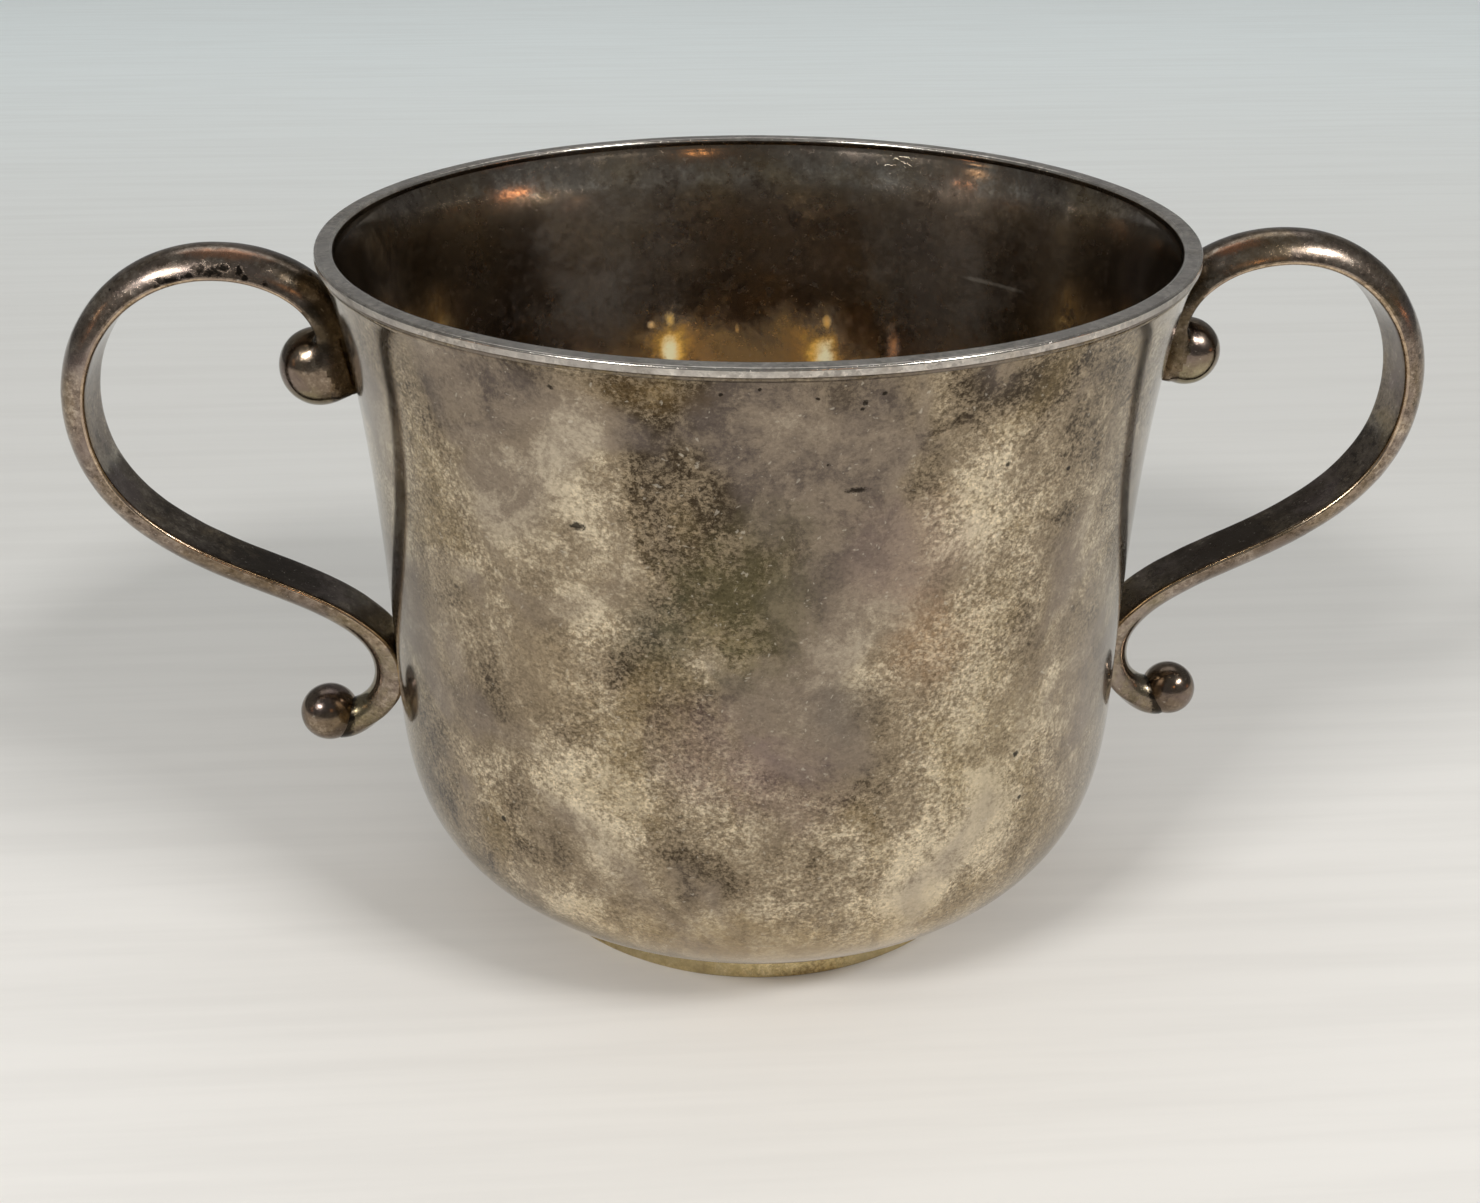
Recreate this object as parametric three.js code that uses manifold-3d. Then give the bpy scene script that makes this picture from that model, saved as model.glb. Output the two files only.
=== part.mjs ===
// Silver cup with two scroll handles. Millimetres, +Z up. The origin is the middle of the foot on the
// table, and the handles stand along X. Every joint is a soldered one, so each pair of pieces keeps the
// thickness of its solder between them.
import * as THREE from 'three';
import { mergeVertices } from 'three/addons/utils/BufferGeometryUtils.js';
import Module from 'manifold-3d';

const wasm = await Module();
wasm.setup();

// Bowl, raised from one sheet
const cupHeight = 80; // table to the top of the rim
const bellyRadius = 43.2;
const bellyHeight = 33; // the wall stands upright here
const bottomClearance = 2.6; // table to the middle of the underside
const bellySquareness = 3.9; // 2 is a plain ellipse, more is fuller at the turn of the bottom
const wallThickness = 1.1;
const lipFlare = 4; // how far the lip stands out beyond the belly
const lipFlareHeight = 5; // the steep last part of the flare
const flareLead = 0.45; // share of the flare that the slow first part aims for
const uprightShare = 0.5; // share of the wall above the belly that aims straight up
const lipEdgeRadius = 0.35;

// Rim band, a flat ring on top of the lip
const bandWidth = 2;
const bandThickness = 0.9;
const bandOverhang = 0.3; // the band stands out past the lip
const bandEdgeRadius = 0.25;

// Foot ring under the bowl
const footRadius = 29.5;
const footThickness = 1.7;
const footDraft = 0.9; // the ring is this much narrower where it meets the bowl
const footHollow = 0.6; // share of that draft at half the height of the ring
const footEdgeRadius = 0.35;

// Handle strap, half round in section with its flat side to the fingers
const strapWidth = 7.1;
const strapThickness = 3.35;
const fingerRoom = 30.5; // bowl wall to the flat of the strap, where the loop is widest
const crownDrop = 1.1; // top of the arch below the top of the rim
const crownReach = 14.6; // bowl wall to the highest point of the arch
const widestDrop = 20.4; // widest point of the loop below the top of the rim
const runReach = 15.2; // bowl wall to the turn from scroll to counter-scroll
const runHeight = 38.9;
const runSlope = 25; // degrees below level, towards the bowl
const upperSeatDrop = 12; // where the arch leaves the wall, below the top of the rim
const lowerSeatHeight = 26.4;
const seatDepth = 0.25; // how deep the seats are filed to the curve of the wall
const roundFullness = 2; // 2 is a plain half round
const seatFullness = 4.5; // the round side is left squarer where it is soldered to the wall

// How far each stretch of the scroll keeps its direction at its start and at its end, as shares of the
// distance between the two
const scrollPulls = {
  arch: [0.35, 0.44],
  loop: [0.39, 0.39],
  run: [0.4, 0.37],
  turnBack: [0.5, 0.3],
  horn: [0.48, 0.23],
};

// Ball terminals and the horn that carries the lower one
const upperBallRadius = 4.1;
const upperBallDrop = 15.2;
const upperTailLength = 2.2; // the strap runs on below the middle of the upper ball
const upperBallSaddle = 0.25; // metal of the strap left between the upper ball and the wall
const lowerBallRadius = 3.45;
const lowerBallHeight = 20.1;
const lowerBallReach = 9.8; // bowl wall to the middle of the ball
const hornRoot = 3.3; // diameter of the horn where it grows out of the strap
const hornDiameter = 5.3; // where the horn meets the ball
const hornSwell = 2; // 1 is a plain cone, more keeps the horn slim for longer
const hornSink = 0.85; // the horn ends this far below the middle of the ball
const hornStop = 1.5; // and this far before it
const hornRise = 10; // degrees above level where the horn meets the ball
const hornStart = 0.2; // share of the last stretch where the strap begins to round into the horn
const hornEnd = 0.95; // and where it is fully round

const solderGap = 0.3;

// Number of facets
const turnSteps = 60;
const bottomSteps = 12;
const wallSteps = 9;
const edgeSteps = 3;
const tailSteps = 3; // on the straight stretch along the wall
const strapSteps = 15; // for each other stretch of the scroll
const crownSteps = 8; // across the round side of the strap
const flatSteps = 4; // across the flat side
const ballSteps = 20;
const profileSamples = 200; // for finding the wall at a height
const mergeDistance = 1e-4;

const rimRadius = bellyRadius + lipFlare + bandOverhang;
const lipRadius = bellyRadius + lipFlare;
const lipHeight = cupHeight - bandThickness - solderGap;

// Half of the underside as a squared ellipse, from the axis out to the belly
function bottomCurve(steps) {
  const points = [];
  const depth = bellyHeight - bottomClearance;
  for (let i = 0; i <= steps; i += 1) {
    const angle = (Math.PI / 2) * (i / steps);
    const out = Math.sin(angle) ** (2 / bellySquareness);
    const down = Math.cos(angle) ** (2 / bellySquareness);
    points.push(new THREE.Vector2(bellyRadius * out, bellyHeight - depth * down));
  }
  points[0].x = 0;
  return points;
}

// The wall from the belly to the underside of the lip, upright at first and flaring at the end
function wallCurve() {
  const bellyToLip = lipHeight - lipEdgeRadius - bellyHeight;
  return new THREE.CubicBezierCurve(
    new THREE.Vector2(bellyRadius, bellyHeight),
    new THREE.Vector2(bellyRadius, bellyHeight + bellyToLip * uprightShare),
    new THREE.Vector2(bellyRadius + lipFlare * flareLead, bellyHeight + bellyToLip - lipFlareHeight),
    new THREE.Vector2(lipRadius, bellyHeight + bellyToLip),
  );
}

// Outside of the bowl from the axis to the lip
function bowlOutside() {
  return [...bottomCurve(bottomSteps), ...wallCurve().getSpacedPoints(wallSteps).slice(1)];
}

// Each point of an outline moved square to it, to the right of its travel
function offsetOutline(points, distance) {
  return points.map((point, i) => {
    const before = points[Math.max(i - 1, 0)];
    const after = points[Math.min(i + 1, points.length - 1)];
    const travel = after.clone().sub(before).normalize();
    return new THREE.Vector2(point.x + travel.y * distance, point.y - travel.x * distance);
  });
}

// Radius of the bowl's outside at a height
const outsideSamples = [...bottomCurve(profileSamples), ...wallCurve().getPoints(profileSamples)];
function wallRadiusAt(height) {
  const next = outsideSamples.findIndex((point) => point.y >= height);
  const low = outsideSamples[next - 1];
  const high = outsideSamples[next];
  return THREE.MathUtils.mapLinear(height, low.y, high.y, low.x, high.x);
}

// Height of the bowl's underside at a radius inside the belly
function undersideHeightAt(radius) {
  const depth = bellyHeight - bottomClearance;
  const out = (radius / bellyRadius) ** bellySquareness;
  return bellyHeight - depth * (1 - out) ** (1 / bellySquareness);
}

// A quarter round from one direction to another, as points about a centre
function roundEdge(x, y, radius, fromDegrees, toDegrees) {
  const points = [];
  for (let i = 0; i <= edgeSteps; i += 1) {
    const angle = THREE.MathUtils.degToRad(fromDegrees + (toDegrees - fromDegrees) * (i / edgeSteps));
    points.push(new THREE.Vector2(x + radius * Math.cos(angle), y + radius * Math.sin(angle)));
  }
  return points;
}

// Revolve an outline of radius and height round the upright axis
function turned(outline) {
  const geometry = new THREE.LatheGeometry(outline, turnSteps);
  geometry.rotateX(Math.PI / 2);
  return geometry;
}

function bowlGeometry() {
  const outside = bowlOutside();
  const inside = offsetOutline(outside, -wallThickness);
  inside[0].x = 0;
  inside.at(-1).y = lipHeight;
  const edge = roundEdge(lipRadius - lipEdgeRadius, lipHeight - lipEdgeRadius, lipEdgeRadius, 0, 90);
  return turned([...outside, ...edge.slice(1), ...inside.reverse()]);
}

function rimBandGeometry() {
  const inner = rimRadius - bandWidth + bandEdgeRadius;
  const outer = rimRadius - bandEdgeRadius;
  const low = cupHeight - bandThickness + bandEdgeRadius;
  const high = cupHeight - bandEdgeRadius;
  const outline = [
    ...roundEdge(outer, low, bandEdgeRadius, -90, 0),
    ...roundEdge(outer, high, bandEdgeRadius, 0, 90),
    ...roundEdge(inner, high, bandEdgeRadius, 90, 180),
    ...roundEdge(inner, low, bandEdgeRadius, 180, 270),
  ];
  return turned([...outline, outline[0]]);
}

function footRingGeometry() {
  const topOuter = footRadius - footDraft;
  const topInner = topOuter - footThickness;
  const bottomInner = footRadius - footThickness;
  const outline = [
    ...roundEdge(footRadius - footEdgeRadius, footEdgeRadius, footEdgeRadius, -90, 0),
    new THREE.Vector2(footRadius - footDraft * footHollow, undersideHeightAt(topOuter) / 2),
    new THREE.Vector2(topOuter, undersideHeightAt(topOuter) - solderGap),
    new THREE.Vector2(topInner, undersideHeightAt(topInner) - solderGap),
    ...roundEdge(bottomInner + footEdgeRadius, footEdgeRadius, footEdgeRadius, 180, 270),
  ];
  return turned([...outline, outline[0]]);
}

// A stretch that leaves one point in a direction and arrives at the next in another
function bend(from, leaving, to, arriving, [pullFrom, pullTo]) {
  const distance = from.distanceTo(to);
  return new THREE.CubicBezierCurve3(
    from,
    from.clone().addScaledVector(leaving, distance * pullFrom),
    to.clone().addScaledVector(arriving, -distance * pullTo),
    to,
  );
}

// Middle line of the strap in the plane of the handle, as distance from the axis and height. It
// climbs the wall, arches over, comes back to the wall and curls out into the lower ball.
function scrollCurves() {
  const point = (reach, height) => new THREE.Vector3(reach, 0, height);
  const half = strapThickness / 2;
  const upperBallHeight = cupHeight - upperBallDrop;
  const seatReach = half + solderGap - seatDepth;

  const tailEnd = point(wallRadiusAt(upperBallHeight) + seatReach, upperBallHeight - upperTailLength);
  const shoulder = point(wallRadiusAt(cupHeight - upperSeatDrop) + seatReach, cupHeight - upperSeatDrop);
  const crownHeight = cupHeight - crownDrop - half;
  const crown = point(wallRadiusAt(cupHeight - upperSeatDrop) + crownReach - solderGap, crownHeight);
  const widestHeight = cupHeight - widestDrop;
  const widest = point(wallRadiusAt(widestHeight) + fingerRoom + half, widestHeight);
  const run = point(wallRadiusAt(runHeight) + runReach, runHeight);
  const lowerSeat = point(wallRadiusAt(lowerSeatHeight) + seatReach, lowerSeatHeight);
  const hornTip = lowerBallCentre().sub(point(hornStop, hornSink));

  const slope = THREE.MathUtils.degToRad(runSlope);
  const rise = THREE.MathUtils.degToRad(hornRise);
  const up = point(0, 1);
  const down = point(0, -1);
  const outward = point(1, 0);
  const inward = point(-Math.cos(slope), -Math.sin(slope));
  const intoBall = point(Math.cos(rise), Math.sin(rise));

  return [
    new THREE.LineCurve3(tailEnd, shoulder),
    bend(shoulder, up, crown, outward, scrollPulls.arch),
    bend(crown, outward, widest, down, scrollPulls.loop),
    bend(widest, down, run, inward, scrollPulls.run),
    bend(run, inward, lowerSeat, down, scrollPulls.turnBack),
    bend(lowerSeat, down, hornTip, intoBall, scrollPulls.horn),
  ];
}

function upperBallCentre() {
  const height = cupHeight - upperBallDrop;
  const reach = wallRadiusAt(height) + solderGap + upperBallSaddle + solderGap + upperBallRadius;
  return new THREE.Vector3(reach, 0, height);
}

function lowerBallCentre() {
  return new THREE.Vector3(wallRadiusAt(lowerBallHeight) + lowerBallReach, 0, lowerBallHeight);
}

// Section of the strap as pairs: from its flat to its round side, and across it. The fullness squares
// the round side, and the horn share turns the whole section into a full round.
function strapSection(fullness, hornShare, hornRadius) {
  const points = [];
  const addPoint = (out, across, angle) => points.push([
    THREE.MathUtils.lerp(out, hornRadius * Math.sin(angle), hornShare),
    THREE.MathUtils.lerp(across, hornRadius * Math.cos(angle), hornShare),
  ]);
  for (let i = 0; i < crownSteps; i += 1) {
    const angle = Math.PI * (i / crownSteps);
    const rise = Math.sin(angle) ** (2 / fullness);
    const side = Math.sign(Math.cos(angle)) * Math.abs(Math.cos(angle)) ** (2 / fullness);
    addPoint(strapThickness * rise - strapThickness / 2, (strapWidth / 2) * side, angle);
  }
  for (let i = 0; i < flatSteps; i += 1) {
    const share = i / flatSteps;
    addPoint(-strapThickness / 2, strapWidth * share - strapWidth / 2, Math.PI * (1 + share));
  }
  return points;
}

// Skin a closed body over rings of points, with flat ends
function skinnedGeometry(rings) {
  const count = rings[0].length;
  const last = rings.length - 1;
  const positions = rings.flat().flatMap((point) => [point.x, point.y, point.z]);
  const index = [];
  for (let ring = 0; ring < last; ring += 1) {
    for (let i = 0; i < count; i += 1) {
      const a = ring * count + i;
      const b = ring * count + ((i + 1) % count);
      index.push(a, b, a + count, b, b + count, a + count);
    }
  }
  for (let i = 1; i < count - 1; i += 1) {
    index.push(0, i + 1, i);
    index.push(last * count, last * count + i, last * count + i + 1);
  }
  const geometry = new THREE.BufferGeometry();
  geometry.setAttribute('position', new THREE.Float32BufferAttribute(positions, 3));
  geometry.setIndex(index);
  return geometry;
}

// The strap along its scroll, swelling into the horn on the last stretch
function strapGeometry() {
  const curves = scrollCurves();
  const rings = [];
  curves.forEach((curve, stretch) => {
    const steps = stretch === 0 ? tailSteps : strapSteps;
    const lastStretch = stretch === curves.length - 1;
    for (let i = stretch === 0 ? 0 : 1; i <= steps; i += 1) {
      const share = i / steps;
      const middle = curve.getPointAt(share);
      const travel = curve.getTangentAt(share);
      const roundSide = new THREE.Vector3(-travel.z, 0, travel.x);
      const alongArch = THREE.MathUtils.clamp(stretch - 1 + share, 0, 1);
      const fullness = THREE.MathUtils.lerp(seatFullness, roundFullness, alongArch);
      const hornShare = lastStretch ? THREE.MathUtils.smoothstep(share, hornStart, hornEnd) : 0;
      const hornRadius = THREE.MathUtils.lerp(hornRoot, hornDiameter, share ** hornSwell) / 2;
      const section = strapSection(fullness, hornShare, hornRadius);
      rings.push(section.map(([out, across]) => (
        middle.clone().addScaledVector(roundSide, out).add(new THREE.Vector3(0, across, 0))
      )));
    }
  });
  return skinnedGeometry(rings);
}

// A ball with its middle at a point
function ballGeometry(centre, radius) {
  const geometry = new THREE.SphereGeometry(radius, ballSteps, ballSteps / 2);
  geometry.translate(centre.x, centre.y, centre.z);
  return geometry;
}

function toSolid(geometry) {
  const bare = geometry.clone();
  bare.deleteAttribute('normal');
  bare.deleteAttribute('uv');
  const merged = mergeVertices(bare, mergeDistance);
  return new wasm.Manifold(new wasm.Mesh({
    numProp: 3,
    vertProperties: merged.attributes.position.array,
    triVerts: Uint32Array.from(merged.index.array),
  }));
}

function toGeometry(solid) {
  const mesh = solid.getMesh();
  const geometry = new THREE.BufferGeometry();
  geometry.setAttribute('position', new THREE.BufferAttribute(new Float32Array(mesh.vertProperties), 3));
  geometry.setIndex(new THREE.BufferAttribute(new Uint32Array(mesh.triVerts), 1));
  geometry.computeVertexNormals();
  return geometry;
}

// The strap with its seats filed to the wall of the bowl and its two ends hollowed for the balls
function fittedStrapGeometry() {
  const around = offsetOutline(bowlOutside(), solderGap);
  around[0].x = 0;
  const wall = toSolid(turned([...around, new THREE.Vector2(0, around.at(-1).y)]));
  const upperHollow = toSolid(ballGeometry(upperBallCentre(), upperBallRadius + solderGap));
  const lowerHollow = toSolid(ballGeometry(lowerBallCentre(), lowerBallRadius + solderGap));
  return toGeometry(toSolid(strapGeometry()).subtract(wall).subtract(upperHollow).subtract(lowerHollow));
}

const finishes = {
  bowl: { color: 0x8c8377, roughness: 0.38, metalness: 1 },
  rim: { color: 0xa9a39b, roughness: 0.42, metalness: 1 },
  foot: { color: 0xb3a88f, roughness: 0.36, metalness: 1 },
  strap: { color: 0x7d7169, roughness: 0.3, metalness: 1 },
  ball: { color: 0x756a60, roughness: 0.25, metalness: 1 },
};

function piece(name, geometry, finish) {
  const mesh = new THREE.Mesh(geometry, new THREE.MeshStandardMaterial(finish));
  mesh.name = name;
  return mesh;
}

// One handle, standing out along +X: the strap and its two balls
function handle(side) {
  const group = new THREE.Group();
  group.add(piece(`${side}_handle_strap`, fittedStrapGeometry(), finishes.strap));
  group.add(piece(`${side}_upper_ball`, ballGeometry(upperBallCentre(), upperBallRadius), finishes.ball));
  group.add(piece(`${side}_lower_ball`, ballGeometry(lowerBallCentre(), lowerBallRadius), finishes.ball));
  return group;
}

const cup = new THREE.Group();
cup.add(piece('bowl', bowlGeometry(), finishes.bowl));
cup.add(piece('rim_band', rimBandGeometry(), finishes.rim));
cup.add(piece('foot_ring', footRingGeometry(), finishes.foot));

const rightHandle = handle('right');
const leftHandle = handle('left');
leftHandle.rotation.z = Math.PI;
cup.add(rightHandle, leftHandle);

export default cup;
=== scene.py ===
import math

import bmesh
import bpy
import numpy as np
from mathutils import Matrix, Vector
from mathutils.bvhtree import BVHTree


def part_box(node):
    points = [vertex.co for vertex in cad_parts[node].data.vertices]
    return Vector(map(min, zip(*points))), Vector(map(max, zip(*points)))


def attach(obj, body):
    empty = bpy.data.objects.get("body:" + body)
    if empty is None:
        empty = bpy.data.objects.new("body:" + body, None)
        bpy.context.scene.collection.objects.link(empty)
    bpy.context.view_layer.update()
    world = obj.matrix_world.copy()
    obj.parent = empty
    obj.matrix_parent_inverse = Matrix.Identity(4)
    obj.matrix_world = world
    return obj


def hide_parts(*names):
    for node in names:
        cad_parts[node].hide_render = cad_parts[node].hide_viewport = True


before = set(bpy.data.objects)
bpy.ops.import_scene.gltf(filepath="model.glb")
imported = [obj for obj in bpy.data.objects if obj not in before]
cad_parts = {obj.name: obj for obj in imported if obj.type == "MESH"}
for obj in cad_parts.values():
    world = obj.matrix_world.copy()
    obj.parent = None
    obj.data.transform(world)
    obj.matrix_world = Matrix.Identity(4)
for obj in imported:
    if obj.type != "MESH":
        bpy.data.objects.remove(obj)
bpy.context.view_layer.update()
print("frame loaded:", len(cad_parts), "solids")

mm = 0.001  # every dictionary below is in millimetres and degrees, unless it says otherwise


def srgb(red, green, blue):  # a colour as it looks on a screen, 0 to 255, as the shader wants it
    def linear(value):
        share = value / 255
        return share / 12.92 if share <= 0.04045 else ((share + 0.055) / 1.055) ** 2.4
    return (linear(red), linear(green), linear(blue), 1.0)


def lerp(a, b, share):
    return a + (b - a) * share


def smoothStep(low, high, value):
    share = np.clip((value - low) / (high - low), 0, 1)
    return share * share * (3 - 2 * share)


def added(name, data):
    made = bpy.data.objects.new(name, data)
    bpy.context.scene.collection.objects.link(made)
    return made


# Camera

camera = {
    "place": (-12.89, -184.13, 127.54),
    "turnRight": 3.435,  # from straight along +Y
    "lookDown": 26.93,
    "roll": 0.11,
    "lens": 41.35,
    "film": 36.0,
}


def makeCamera():
    turn, down, roll = (math.radians(camera[k]) for k in ("turnRight", "lookDown", "roll"))
    forward = Vector((math.sin(turn) * math.cos(down), math.cos(turn) * math.cos(down), -math.sin(down)))
    level = Vector((math.cos(turn), -math.sin(turn), 0))
    above = level.cross(forward)
    right = level * math.cos(roll) + above * math.sin(roll)
    up = above * math.cos(roll) - level * math.sin(roll)
    data = bpy.data.cameras.new("camera")
    data.lens = camera["lens"]
    data.sensor_width = camera["film"]
    data.sensor_fit = "HORIZONTAL"
    data.clip_start = 0.01
    made = added("camera", data)
    turned = Matrix((right, up, -forward)).transposed().to_4x4()
    made.matrix_world = Matrix.Translation(Vector(camera["place"]) * mm) @ turned
    bpy.context.scene.camera = made


makeCamera()
bpy.context.scene.view_settings.view_transform = "Standard"
print("camera placed")


# Node helpers

def node(tree, kind, feeds=None, **settings):  # feeds: input name or number -> socket or plain value
    made = tree.nodes.new(kind)
    for key, value in settings.items():
        setattr(made, key, value)
    for key, value in (feeds or {}).items():
        if isinstance(value, bpy.types.NodeSocket):
            tree.links.new(value, made.inputs[key])
        else:
            made.inputs[key].default_value = value
    return made


def treeOf(*values):  # the tree that the first socket among these belongs to
    return next(value.id_data for value in values if isinstance(value, bpy.types.NodeSocket))


def maths(operation, a, b=0.0):
    return node(treeOf(a, b), "ShaderNodeMath", {0: a, 1: b}, operation=operation).outputs[0]


def times(a, b):
    return maths("MULTIPLY", a, b)


def plus(a, b):
    return maths("ADD", a, b)


def minus(a, b):
    return maths("SUBTRACT", a, b)


def vectorMaths(operation, a, b):
    second = "Scale" if operation == "SCALE" else 1
    return node(treeOf(a, b), "ShaderNodeVectorMath", {0: a, second: b}, operation=operation).outputs[0]


def blendColour(share, a, b, kind="MIX"):
    mixed = node(treeOf(share, a, b), "ShaderNodeMix", {0: share, 6: a, 7: b}, data_type="RGBA",
                 blend_type=kind)
    return mixed.outputs[2]


def blendValue(share, a, b):
    return node(treeOf(share, a, b), "ShaderNodeMix", {0: share, 2: a, 3: b}).outputs[0]


def ramp(value, low, high, toLow=0.0, toHigh=1.0):
    return node(treeOf(value), "ShaderNodeMapRange", {"Value": value, "From Min": low, "From Max": high,
                                                      "To Min": toLow, "To Max": toHigh},
                interpolation_type="SMOOTHSTEP").outputs[0]


def noise(vector, scale, detail=3.0, roughness=0.55, distortion=0.0):
    made = node(treeOf(vector, scale), "ShaderNodeTexNoise",
                {"Vector": vector, "Scale": scale, "Detail": detail, "Roughness": roughness,
                 "Distortion": distortion})
    return made.outputs


def newGroup(name, inputs, outputs, kind="ShaderNodeTree"):  # inputs: name -> value, None for a plain vector
    group = bpy.data.node_groups.new(name, kind)
    special = {"Geometry": "NodeSocketGeometry", "Material": "NodeSocketMaterial"}
    for label, value in inputs.items():
        usual = "NodeSocketFloat" if isinstance(value, float) else "NodeSocketVector"
        socket = group.interface.new_socket(label, in_out="INPUT", socket_type=special.get(label, usual))
        if value is not None:
            socket.default_value = value
    for label in outputs:
        group.interface.new_socket(label, in_out="OUTPUT", socket_type=special.get(label, "NodeSocketFloat"))
    out = node(group, "NodeGroupOutput").inputs

    def give(**sockets):
        for label, socket in sockets.items():
            group.links.new(socket, out[label])
        return group

    return group, node(group, "NodeGroupInput").outputs, give


def place(tree, group, feeds):
    return node(tree, "ShaderNodeGroup", feeds, node_tree=group).outputs


# Shared effects of old silver, each as a group of nodes

def makeCloudGroup():  # clouds of tarnish, from thin to thick, with streaks that run down the wall
    inputs = {"Vector": None, "Size": 0.02, "Streak": 0.5, "Seed": (0, 0, 0)}
    group, given, give = newGroup("tarnishClouds", inputs, ["Thickness", "Hue"])
    moved = vectorMaths("ADD", given["Vector"], given["Seed"])
    scale = maths("DIVIDE", 1.0, given["Size"])
    big = noise(moved, scale, 5, 0.62, 0.5)[0]
    streaks = noise(vectorMaths("MULTIPLY", moved, (1, 1, 0.4)), times(scale, 1.7), 4, 0.55, 0.2)[0]
    both = blendValue(times(given["Streak"], 0.6), big, streaks)
    hue = noise(moved, times(scale, 0.8), 3, 0.5, 0.8)[0]
    return give(Thickness=ramp(both, 0.34, 0.66), Hue=ramp(hue, 0.3, 0.7))


def makeGrainGroup():  # ragged flakes up to half a millimetre wide, a fine speckle, and pale rubbed hairs
    group, given, give = newGroup("tarnishGrain", {"Vector": None, "Size": 0.0012},
                                  ["Flakes", "Light", "Dark", "Frost", "Height"])
    scale = maths("DIVIDE", 1.0, given["Size"])
    rubbed = vectorMaths("MULTIPLY", given["Vector"], (1, 1, 1.2))
    flakes = noise(rubbed, scale, 7, 0.8, 0.12)[0]
    swirl = noise(rubbed, times(scale, 3.0), 2, 0.6)[1]
    stirred = vectorMaths("ADD", rubbed, vectorMaths("SCALE", swirl, 0.0006))
    specks = node(group, "ShaderNodeTexVoronoi", {"Vector": stirred, "Scale": times(scale, 1.9)})
    speckle = node(group, "ShaderNodeSeparateColor", {0: specks.outputs["Color"]}).outputs[0]
    veins = noise(given["Vector"], times(scale, 1.6), 2, 0.6, 1.6)[0]
    hairs = ramp(maths("ABSOLUTE", minus(veins, 0.5)), 0.03, 0.004)
    return give(Flakes=ramp(flakes, 0.43, 0.57, -0.5, 0.5), Height=plus(speckle, flakes),
                Light=ramp(speckle, 0.6, 0.95), Dark=ramp(speckle, 0.4, 0.05),
                Frost=times(hairs, ramp(flakes, 0.56, 0.44, 0.1, 1.0)))


def makeScratchGroup():  # short hair scratches in three directions
    inputs = {"Vector": None, "Spacing": 0.0012, "Amount": 0.5}
    group, given, give = newGroup("hairScratches", inputs, ["Mask"])
    scale = maths("DIVIDE", 1.0, given["Spacing"])
    mask = None
    for tilt in ((0.5, 0.3, 0.2), (1.3, 1.1, 0.9), (2.2, 0.4, 2.6)):
        turned = node(group, "ShaderNodeMapping", {"Vector": given["Vector"], "Rotation": tilt,
                                                   "Scale": (1.0, 1.0, 0.045)}, vector_type="TEXTURE")
        stretched = node(group, "ShaderNodeMapping", {"Vector": turned.outputs[0], "Scale": (1, 1, 0.02)})
        lines = ramp(noise(stretched.outputs[0], scale, 2, 0.5, 0.15)[0], 0.70, 0.76)
        mask = maths("MAXIMUM", mask, lines) if mask else lines
    return give(Mask=times(mask, given["Amount"]))


def makePitGroup():  # small dark pits, left by corrosion and by the casting
    inputs = {"Vector": None, "Spacing": 0.004, "Radius": 0.1, "Share": 0.3}
    group, given, give = newGroup("pits", inputs, ["Mask"])
    scale = maths("DIVIDE", 1.0, given["Spacing"])
    cells = node(group, "ShaderNodeTexVoronoi", {"Vector": given["Vector"], "Scale": scale})
    chosen = node(group, "ShaderNodeSeparateColor", {0: cells.outputs["Color"]}).outputs
    size = times(given["Radius"], plus(chosen[1], 0.5))
    inside = ramp(maths("DIVIDE", cells.outputs["Distance"], size), 1.0, 0.6)
    return give(Mask=times(maths("LESS_THAN", chosen[0], given["Share"]), inside))


def makeMottleGroup():  # ragged patches a few millimetres wide, where the tarnish has flaked or been rubbed
    inputs = {"Vector": None, "Size": 0.004, "Seed": (0, 0, 0)}
    group, given, give = newGroup("mottles", inputs, ["Thickness", "Ragged"])
    moved = vectorMaths("ADD", given["Vector"], given["Seed"])
    scale = maths("DIVIDE", 1.0, given["Size"])
    return give(Thickness=ramp(noise(moved, scale, 10, 0.8, 0.4)[0], 0.44, 0.56, -0.5, 0.5),
                Ragged=minus(noise(moved, times(scale, 0.6), 10, 0.8, 0.3)[0], 0.5))


def makeSpotGroup():  # one patch at a place on the metal, soft or crisp, with a ragged edge
    inputs = {"Vector": None, "Centre": (0, 0, 0), "Size": (0.01, 0.01, 0.01), "Ragged": 0.0,
              "Softness": 0.85, "Amount": 1.0}
    group, given, give = newGroup("softSpot", inputs, ["Mask"])
    away = vectorMaths("DIVIDE", vectorMaths("SUBTRACT", given["Vector"], given["Centre"]), given["Size"])
    length = node(group, "ShaderNodeVectorMath", {0: away}, operation="LENGTH").outputs["Value"]
    edge = plus(length, times(given["Ragged"], given["Softness"]))
    return give(Mask=times(ramp(edge, 1.0, minus(1.0, given["Softness"])), given["Amount"]))


cloudGroup = makeCloudGroup()
grainGroup = makeGrainGroup()
scratchGroup = makeScratchGroup()
pitGroup = makePitGroup()
mottleGroup = makeMottleGroup()
spotGroup = makeSpotGroup()


def startMaterial(name):
    material = bpy.data.materials.new(name)
    material.use_nodes = True
    tree = material.node_tree
    tree.nodes.clear()
    shader = node(tree, "ShaderNodeBsdfPrincipled")
    node(tree, "ShaderNodeOutputMaterial", {"Surface": shader.outputs[0]})
    return material, tree, shader, node(tree, "ShaderNodeTexCoord").outputs["Object"]


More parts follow.
